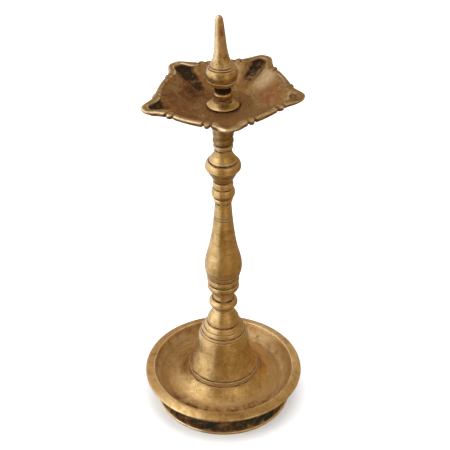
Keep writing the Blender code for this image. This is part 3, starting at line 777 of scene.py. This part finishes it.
class Graph:
    """Adds and links nodes in one material, or in the world."""

    def __init__(self, owner):
        owner.use_nodes = True
        self.tree = owner.node_tree
        self.shader = self.tree.nodes.get("Principled BSDF") or self.tree.nodes["Background"]
        self.coordinates = self.add("ShaderNodeTexCoord")
        self.place = self.coordinates.outputs["Object"]

    def add(self, kind, inputs=None, **settings):
        node = self.tree.nodes.new(kind)
        for key, value in settings.items():
            setattr(node, key, value)
        for key, value in (inputs or {}).items():
            self.feed(node.inputs[key], value)
        return node

    def feed(self, socket_in, value):
        if isinstance(value, bpy.types.NodeSocket):
            self.tree.links.new(value, socket_in)
        else:
            socket_in.default_value = value

    def surface(self, name, value):
        """Sets or links one input of the material's shader, or of the world's."""
        self.feed(self.shader.inputs[name], value)

    def mark(self, name):
        """A value that the mesh carries, such as the depth of dirt in its grooves."""
        return self.add("ShaderNodeAttribute", attribute_name=name).outputs["Fac"]

    def noise(self, scale, detail=4.0, rough=0.55, place=None, twist=0.0):
        node = self.add("ShaderNodeTexNoise", {"Vector": place or self.place, "Scale": scale,
                                               "Detail": detail, "Roughness": rough,
                                               "Distortion": twist})
        return node.outputs["Fac"]

    def stretched(self, scale, turn):
        """The place, turned and stretched, for marks that run one way."""
        node = self.add("ShaderNodeMapping",
                        {"Vector": self.place, "Scale": scale, "Rotation": turn})
        return node.outputs["Vector"]

    def lathe(self, scale, aspect):
        """Radius and height as a place, so that a noise there runs round the piece in rings."""
        parts = self.add("ShaderNodeSeparateXYZ", {"Vector": self.place})
        flat = self.add("ShaderNodeCombineXYZ", {"X": parts.outputs["X"], "Y": parts.outputs["Y"]})
        length = self.add("ShaderNodeVectorMath", {0: flat.outputs["Vector"]}, operation="LENGTH")
        ring = self.add("ShaderNodeCombineXYZ",
                        {"X": length.outputs["Value"], "Y": parts.outputs["Z"]})
        wobble = self.vector(self.place, (aspect,) * 3, "MULTIPLY")
        both = self.vector(ring.outputs["Vector"], wobble, "ADD")
        return self.vector(both, (scale,) * 3, "MULTIPLY")

    def vector(self, a, b, how):
        return self.add("ShaderNodeVectorMath", {0: a, 1: b}, operation=how).outputs["Vector"]

    def sum(self, a, b, how="ADD", clamp=False):
        node = self.add("ShaderNodeMath", {0: a, 1: b}, operation=how, use_clamp=clamp)
        return node.outputs["Value"]

    def times(self, a, b, clamp=False):
        return self.sum(a, b, "MULTIPLY", clamp)

    def minus(self, a, b, clamp=False):
        return self.sum(a, b, "SUBTRACT", clamp)

    def spread(self, value, low, high, out_low=0.0, out_high=1.0):
        node = self.add("ShaderNodeMapRange", {"Value": value, "From Min": low, "From Max": high,
                                               "To Min": out_low, "To Max": out_high})
        node.interpolation_type = "SMOOTHSTEP"
        return node.outputs["Result"]

    def ramp(self, value, stops):
        node = self.add("ShaderNodeValToRGB", {"Fac": value})
        band = node.color_ramp
        while len(band.elements) < len(stops):
            band.elements.new(0.5)
        for element, (position, colour) in zip(band.elements, stops):
            element.position = position
            element.color = (*colour, 1.0)
        return node.outputs["Color"]

    def blend(self, share, a, b, how="MIX"):
        node = self.add("ShaderNodeMix", data_type="RGBA", blend_type=how, clamp_factor=True)
        self.feed(node.inputs["Factor"], share)
        for key, value in (("A", a), ("B", b)):
            slot_in = next(s for s in node.inputs if s.name == key and s.type == "RGBA")
            self.feed(slot_in, value if isinstance(value, bpy.types.NodeSocket) else (*value, 1.0))
        return next(s for s in node.outputs if s.type == "RGBA")

    def bump(self, height, distance, normal=None):
        node = self.add("ShaderNodeBump", {"Height": height, "Strength": 1.0, "Distance": distance})
        if normal is not None:
            self.feed(node.inputs["Normal"], normal)
        return node.outputs["Normal"]


# Colours of the brass, from its darkest tone to its lightest, and of what lies on it; the dirt,
# smoke-black, rust-stain and bare-metal colours are also laid on as painted shade and highlights.
BRASS_TONES = ((0.38, (0.34, 0.185, 0.05)), (0.47, (0.55, 0.335, 0.115)),
               (0.53, (0.68, 0.435, 0.17)), (0.62, (0.83, 0.58, 0.27)))
TARNISH = (0.24, 0.125, 0.036)
SPECKS = (0.075, 0.032, 0.009)
RUST_STAIN_AND_SHADE = (0.235, 0.085, 0.019)
DIRT_AND_SHADE = (0.10, 0.037, 0.010)
SOOT_AND_SHADE = (0.018, 0.011, 0.006)
GREEN_BLACK = (0.016, 0.019, 0.011)
BARE_METAL_AND_HIGHLIGHT = (0.93, 0.72, 0.42)
PIT_BOTTOM = (0.07, 0.035, 0.016)
SCRATCHED = (0.85, 0.66, 0.40)


def brass(name, dull=0.0, speckled=0.12, soot_and_shade_colour=SOOT_AND_SHADE, seed=0.0):
    """Old hand-rubbed brass: mottled, turned in fine rings, dark in its grooves and hollows with
    dirt and painted shade, bright on edges with wear and painted highlights.
    """
    material = bpy.data.materials.new(name)
    g = Graph(material)
    shifted = g.vector(g.place, (seed, seed * 0.7, seed * 1.3), "ADD")
    cloud = g.noise(26.0, 3.0, place=shifted)
    mottle = g.noise(150.0, 7.0, 0.62, place=shifted, twist=0.6)
    grain = g.noise(900.0, 4.0, 0.6, place=shifted)
    rings = g.noise(1.0, 3.0, 0.7, place=g.lathe(1500.0, 0.035))
    wide_rings = g.noise(1.0, 2.0, 0.5, place=g.lathe(330.0, 0.02))
    tone = g.sum(g.sum(g.times(cloud, 0.24), g.times(mottle, 0.34)),
                 g.sum(g.times(rings, 0.18), g.times(wide_rings, 0.06)))
    tone = g.sum(tone, g.times(grain, 0.18))
    colour = g.ramp(tone, BRASS_TONES)
    speckle = g.spread(g.noise(420.0, 6.0, 0.7, place=shifted), 0.49, 0.60)
    colour = g.blend(dull, colour, TARNISH)
    colour = g.blend(g.times(speckle, speckled), colour, SPECKS)

    grime_and_shade, wear_and_highlight, soot_and_shade, stain_and_shade = (g.mark(m) for m in ("grime_and_shade", "wear_and_highlight", "soot_and_shade", "stain_and_shade"))
    ragged = g.spread(mottle, 0.38, 0.62, 0.55, 1.25)
    # Rust-red stains, also laid on as painted shade.
    stain_and_shade_cover = g.times(g.times(stain_and_shade, ragged), 0.75, clamp=True)
    colour = g.blend(stain_and_shade_cover, colour, RUST_STAIN_AND_SHADE)
    halo = g.times(g.times(soot_and_shade, 0.8), ragged)
    # Dirt colour, also laid on as painted shade in hollows and under parts.
    grime_and_shade_cover = g.sum(g.times(grime_and_shade, ragged), halo, clamp=True)
    colour = g.blend(grime_and_shade_cover, colour, DIRT_AND_SHADE)
    flaky = g.minus(g.sum(mottle, g.noise(520.0, 5.0, 0.65, place=shifted)), 1.0)
    # Smoke black, also laid on as painted shadow and shade in necks, channels and round the collar.
    edges = g.spread(g.sum(soot_and_shade, g.times(flaky, 1.5)), 0.25, 0.95)
    soot_and_shade_cover = g.times(edges, g.spread(soot_and_shade, 0.02, 0.15))
    colour = g.blend(soot_and_shade_cover, colour, soot_and_shade_colour)
    # Bare metal on edges rubbed by wear, also laid on as painted highlight.
    bright = g.times(g.times(wear_and_highlight, ragged), g.minus(1.0, grime_and_shade_cover), clamp=True)
    colour = g.blend(g.times(bright, 0.7), colour, BARE_METAL_AND_HIGHLIGHT)

    clean = g.times(g.minus(1.0, grime_and_shade_cover), g.minus(1.0, soot_and_shade_cover))
    scratches = g.times(scratch_lines(g), clean)
    pits = pit_marks(g, shifted)
    colour = g.blend(g.times(pits, 0.7), colour, PIT_BOTTOM)
    colour = g.blend(g.times(scratches, 0.22), colour, SCRATCHED)

    rough = g.spread(tone, 0.38, 0.62, 0.34 + 0.05 * dull, 0.22 + 0.05 * dull)
    rough = g.sum(rough, g.times(grime_and_shade_cover, 0.22))
    rough = g.sum(rough, g.times(soot_and_shade_cover, 0.35))
    rough = g.sum(rough, g.times(stain_and_shade_cover, 0.15))
    rough = g.sum(rough, g.times(bright, -0.1), clamp=True)
    metal = g.minus(1.0, g.sum(g.times(grime_and_shade_cover, 0.7), g.times(soot_and_shade_cover, 0.95)))
    metal = g.minus(metal, g.times(stain_and_shade_cover, 0.7), clamp=True)

    relief = g.sum(g.times(mottle, 0.3), g.times(grain, 0.22))
    relief = g.sum(relief, g.times(rings, 0.3))
    relief = g.sum(relief, g.times(scratches, -0.12))
    relief = g.sum(relief, g.times(pits, -0.5))
    crust = g.times(g.noise(700.0, 5.0, 0.7, place=shifted), g.sum(soot_and_shade_cover, grime_and_shade_cover, "MAXIMUM"))
    normal = g.bump(relief, 0.00022)
    normal = g.bump(crust, 0.0003, normal)

    g.surface("Base Color", colour)
    g.surface("Roughness", rough)
    g.surface("Metallic", metal)
    g.surface("Normal", normal)
    g.surface("Specular IOR Level", 0.05)
    return material


def scratch_lines(g):
    """Thin crossing scratches from years of scouring."""
    found = None
    for k, (scale, turn) in enumerate((((14, 330, 14), (0.2, 0.1, 0.5)),
                                       ((300, 12, 12), (0.1, 0.4, -0.35)),
                                       ((16, 16, 280), (0.5, 0.25, 1.1)))):
        field = g.noise(1.0, 2.0, 0.5, place=g.stretched(scale, turn), twist=0.3 + 0.1 * k)
        away = g.add("ShaderNodeMath", {0: g.minus(field, 0.5)}, operation="ABSOLUTE")
        thin = g.spread(away.outputs["Value"], 0.0, 0.012, 1.0, 0.0)
        found = thin if found is None else g.sum(found, thin, "MAXIMUM")
    patchy = g.spread(g.noise(60.0, 2.0), 0.48, 0.64)
    return g.times(found, patchy)


def pit_marks(g, place):
    """Small dark casting pits, a few to the square centimetre."""
    cells = g.add("ShaderNodeTexVoronoi", {"Vector": place, "Scale": 210.0, "Randomness": 1.0})
    near = g.spread(cells.outputs["Distance"], 0.06, 0.13, 1.0, 0.0)
    chance = g.add("ShaderNodeSeparateColor", {"Color": cells.outputs["Color"]}).outputs["Red"]
    return g.times(near, g.spread(chance, 0.86, 0.9))


def leather(name):
    """Oil-soaked leather, cracked at its edge."""
    material = bpy.data.materials.new(name)
    g = Graph(material)
    blotch = g.noise(420.0, 6.0, 0.65)
    cracks = g.add("ShaderNodeTexVoronoi", {"Vector": g.place, "Scale": 1400.0},
                   feature="DISTANCE_TO_EDGE").outputs["Distance"]
    colour = g.ramp(blotch, [(0.35, (0.018, 0.011, 0.007)), (0.5, (0.05, 0.03, 0.017)),
                             (0.66, (0.10, 0.062, 0.035))])
    g.surface("Base Color", colour)
    g.surface("Roughness", g.spread(blotch, 0.35, 0.65, 0.45, 0.8))
    g.surface("Normal", g.bump(g.sum(blotch, cracks), 0.0001))
    return material


# ---------------- studio

def floor_material():
    """Matt white paper, a little uneven."""
    material = bpy.data.materials.new("paper_sweep")
    g = Graph(material)
    fibre = g.noise(9.0, 5.0)
    white = g.ramp(fibre, [(0.3, (0.90, 0.90, 0.90)), (0.7, (0.93, 0.93, 0.93))])
    g.surface("Base Color", white)
    g.surface("Roughness", 0.9)
    g.surface("Specular IOR Level", 0.1)
    return material


def make_floor():
    """A wide paper floor, seen by the camera but not by the brass, which mirrors the studio."""
    bpy.ops.mesh.primitive_plane_add(size=14.0, location=(0, 0, 0))
    floor = bpy.context.active_object
    floor.name = "paper_floor"
    floor.data.materials.append(floor_material())
    floor.visible_glossy = False


def soft_box(name, place, target, size, power):
    """A rectangular area light aimed at the lamp, which the brass doesn't mirror."""
    data = bpy.data.lights.new(name, "AREA")
    data.shape = "RECTANGLE"
    data.size, data.size_y = size
    data.energy = power
    lamp = bpy.data.objects.new(name, data)
    lamp.location = place
    lamp.rotation_euler = (Vector(target) - Vector(place)).to_track_quat("-Z", "Y").to_euler()
    lamp.visible_glossy = False
    bpy.context.scene.collection.objects.link(lamp)


def direction(azimuth, elevation):
    """Unit vector towards an azimuth, from the front to the right, and an elevation."""
    a, e = math.radians(azimuth), math.radians(elevation)
    return (math.sin(a) * math.cos(e), -math.cos(a) * math.cos(e), math.sin(e))


# What the brass mirrors: colours of light, and directions as (azimuth, elevation) in degrees.
ROOM_WHITE = (0.85, 0.85, 0.85)
ROOM_GLOW = (0.42, 0.325, 0.20)
LOWER_DARK = (0.22, 0.15, 0.08)
WINDOW = (-95.0, 0.0)
WINDOW_SQUASH = 0.45
WINDOW_GLOW = (0.62, 0.79, 1.10)
GLOWS = ((-78.0, 8.0, 9.0, (0.55, 0.57, 0.6)), (32.0, -22.0, 22.0, (0.22, 0.2, 0.16)),
         (34.0, 32.0, 12.0, (0.5, 0.52, 0.5)), (160.0, 24.0, 14.0, (0.25, 0.25, 0.27)),
         (-105.0, 68.0, 14.0, (0.95, 0.95, 1.0)), (-66.0, 34.0, 20.0, (0.5, 0.5, 0.52)))


def make_surround():
    """An even white room that lights the paper. The brass mirrors a warm dim one with a tall cool
    window on its left."""
    world = bpy.data.worlds.new("studio")
    bpy.context.scene.world = world
    g = Graph(world)
    look = g.coordinates.outputs["Generated"]
    upright = g.vector(look, (1, 1, WINDOW_SQUASH), "MULTIPLY")
    unit = g.add("ShaderNodeVectorMath", {0: upright}, operation="NORMALIZE")

    def facing(place, azimuth, elevation):
        node = g.add("ShaderNodeVectorMath", {0: place, 1: direction(azimuth, elevation)},
                     operation="DOT_PRODUCT")
        return g.sum(node.outputs["Value"], 0.0, "MAXIMUM")

    def lit(colour, share, more):
        return g.blend(1.0, colour, g.blend(share, (0, 0, 0), more), "ADD")

    seen = lit(ROOM_GLOW, g.spread(facing(unit.outputs["Vector"], *WINDOW), 0.36, 0.60), WINDOW_GLOW)
    for azimuth, elevation, power, glow in GLOWS:
        seen = lit(seen, g.sum(facing(look, azimuth, elevation), power, "POWER"), glow)
    depth = g.add("ShaderNodeSeparateXYZ", {"Vector": look}).outputs["Z"]
    seen = g.blend(g.spread(depth, -0.62, -0.92), seen, LOWER_DARK)
    mirrored = g.add("ShaderNodeLightPath").outputs["Is Glossy Ray"]
    g.surface("Color", g.blend(mirrored, ROOM_WHITE, seen))
    g.surface("Strength", 1.0)


def make_studio():
    """Camera, floor and lights."""
    camera = bpy.data.cameras.new("camera")
    camera.lens = 92.34
    camera.sensor_width = 36.0
    camera.clip_start, camera.clip_end = 0.01, 50.0
    eye = bpy.data.objects.new("camera", camera)
    eye.location = (0.00146, -0.7806, 0.7337)
    eye.rotation_euler = (math.radians(54.8), 0, 0)
    bpy.context.scene.collection.objects.link(eye)
    bpy.context.scene.camera = eye
    bpy.context.scene.view_settings.view_transform = "Standard"
    make_floor()
    make_surround()
    middle = (0, 0, 0.17)
    soft_box("left_box", (-0.95, -0.35, 0.85), middle, (0.9, 1.1), 7.0)
    soft_box("right_box", (1.15, -0.45, 0.75), middle, (0.6, 1.0), 4.0)
    soft_box("overhead", (0.0, 0.25, 2.2), (0, 0.2, 0), (2.6, 2.6), 42.0)


# ---------------- assembly

def place(obj, node, body, slot, material):
    """Gives a piece its material, hides the CAD node that it stands for and fixes it to a body."""
    obj.data.materials.append(material)
    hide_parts(node)
    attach(obj, body)


def main():
    place(make_base(), "base_dish", "base", "dish_brass",
          brass("brass_base", 0.0, 0.15, GREEN_BLACK))
    place(make_lower_knop(), "lower_knop", "knop", "stem_brass", brass("brass_knop", seed=1.3))
    place(make_baluster(), "baluster", "stem", "stem_brass", brass("brass_baluster", seed=2.1))
    place(make_head(), "upper_knop", "stem", "stem_brass", brass("brass_head", seed=3.7))
    place(make_washer(), "pan_washer", "stem", "washer_leather", leather("leather_washer"))
    place(make_pan(), "oil_pan", "pan", "pan_brass", brass("brass_pan", 0.72, 0.5, seed=4.9))
    place(make_collar(), "pan_collar", "collar", "finial_brass",
          brass("brass_collar", 0.05, seed=5.3))
    place(make_finial(), "finial", "finial", "finial_brass",
          brass("brass_finial", 0.0, 0.42, seed=6.1))
    make_studio()


main()
